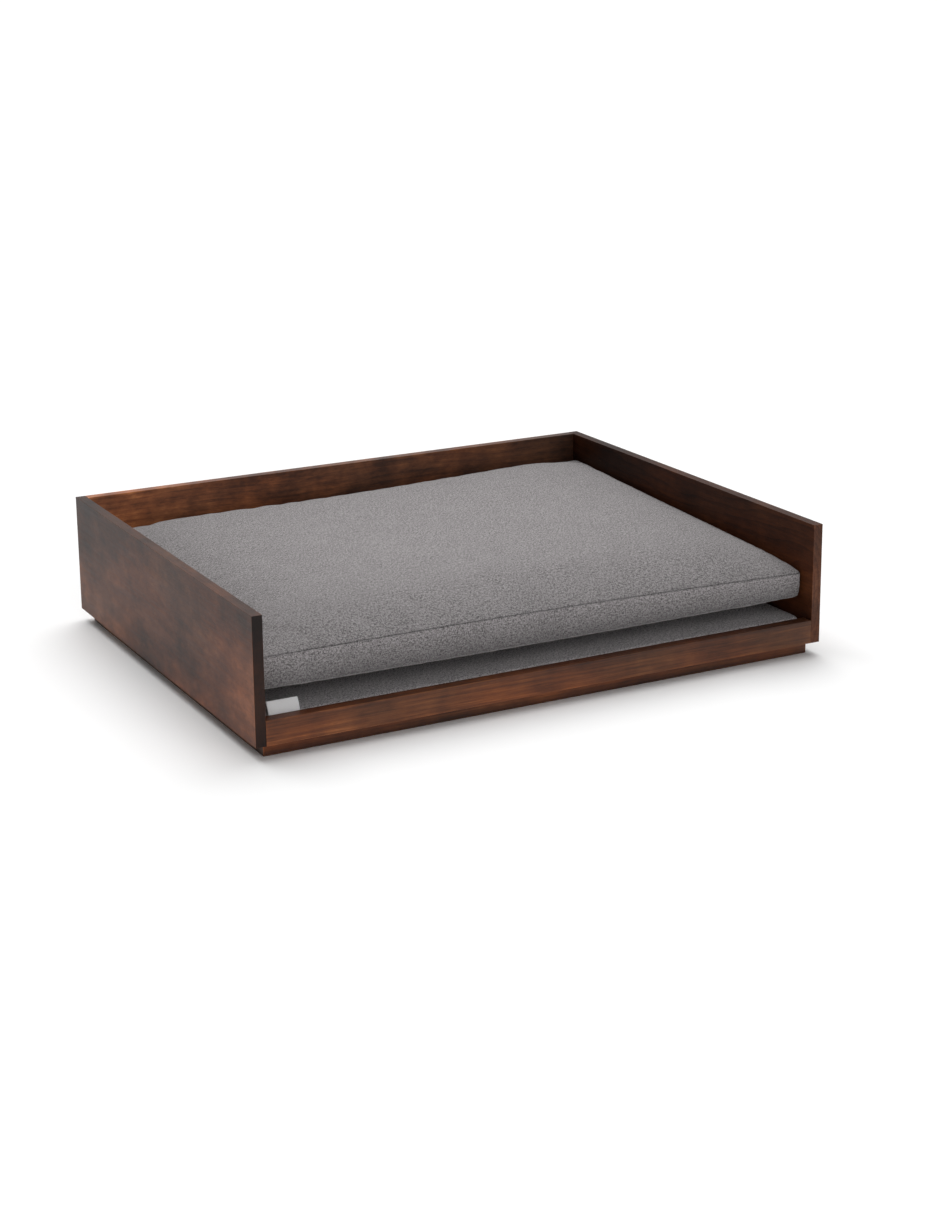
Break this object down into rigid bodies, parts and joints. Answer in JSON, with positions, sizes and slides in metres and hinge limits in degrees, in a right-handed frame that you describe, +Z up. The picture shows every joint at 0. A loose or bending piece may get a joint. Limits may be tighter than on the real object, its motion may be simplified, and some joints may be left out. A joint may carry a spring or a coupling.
{
  "type": "dog bed with frame",
  "caption": "Low walnut-stained wooden tray on a recessed plinth, open over a low front rail, holding an upholstered base panel and a thick boxed grey cushion.",
  "frame": {"origin": "middle of the plinth's underside, on the floor the bed stands on", "axes": "+X along the width to the bed's right as seen from its open front, +Y from the open front to the back board, +Z up"},
  "size_m": [0.9, 0.7, 0.198],
  "materials": {
    "walnut_stain": "satin",
    "plywood": "matte",
    "beech_dowel": "matte",
    "zinc_steel": "satin",
    "grey_linen": "matte",
    "filling": "matte",
    "white_ribbon": "matte",
    "zip_tape": "matte"
  },
  "bodies": {
    "frame": {"back_board": "walnut_stain", "cross_batten_left": "walnut_stain", "cross_batten_right": "walnut_stain", "deck_board": "plywood", "deck_dowel_back_left": "beech_dowel", "deck_dowel_back_right": "beech_dowel", "deck_dowel_front_left": "beech_dowel", "deck_dowel_front_right": "beech_dowel", "deck_dowel_left_back": "beech_dowel", "deck_dowel_left_front": "beech_dowel", "deck_dowel_right_back": "beech_dowel", "deck_dowel_right_front": "beech_dowel", "dowel_back_left_lower": "beech_dowel", "dowel_back_left_middle": "beech_dowel", "dowel_back_left_upper": "beech_dowel", "dowel_back_right_lower": "beech_dowel", "dowel_back_right_middle": "beech_dowel", "dowel_back_right_upper": "beech_dowel", "dowel_rail_left": "beech_dowel", "dowel_rail_right": "beech_dowel", "front_rail": "walnut_stain", "left_side_board": "walnut_stain", "plinth_back_batten": "walnut_stain", "plinth_front_batten": "walnut_stain", "plinth_left_batten": "walnut_stain", "plinth_right_batten": "walnut_stain", "right_side_board": "walnut_stain", "screw_back_left": "zinc_steel", "screw_back_middle": "zinc_steel", "screw_back_right": "zinc_steel", "screw_cross_left_back": "zinc_steel", "screw_cross_left_front": "zinc_steel", "screw_cross_right_back": "zinc_steel", "screw_cross_right_front": "zinc_steel", "screw_front_left": "zinc_steel", "screw_front_middle": "zinc_steel", "screw_front_right": "zinc_steel", "screw_left_back": "zinc_steel", "screw_left_front": "zinc_steel", "screw_right_back": "zinc_steel", "screw_right_front": "zinc_steel"},
    "base_panel": {"blank_tag": "white_ribbon", "panel_board": "plywood", "panel_cover": "grey_linen", "panel_foam": "filling"},
    "cushion": {"boxing_back_lower": "grey_linen", "boxing_back_upper": "grey_linen", "boxing_front": "grey_linen", "boxing_left": "grey_linen", "boxing_right": "grey_linen", "cushion_bottom_cover": "grey_linen", "cushion_filling": "filling", "cushion_top_cover": "grey_linen", "zip_stop_left": "zinc_steel", "zip_stop_right": "zinc_steel", "zip_tape": "zip_tape"},
    "zip_slider": {"zip_slider": "zinc_steel"}
  },
  "joints": [
    {"name": "base_panel_lift", "type": "slide", "parent": "frame", "child": "base_panel", "axis": [0, 0, 1], "range_m": [0, 0.22]},
    {"name": "cushion_lift", "type": "slide", "parent": "base_panel", "child": "cushion", "axis": [0, 0, 1], "range_m": [0, 0.25]},
    {"name": "zip_slide", "type": "slide", "parent": "cushion", "child": "zip_slider", "axis": [1, 0, 0], "range_m": [0, 0.578]}
  ]
}
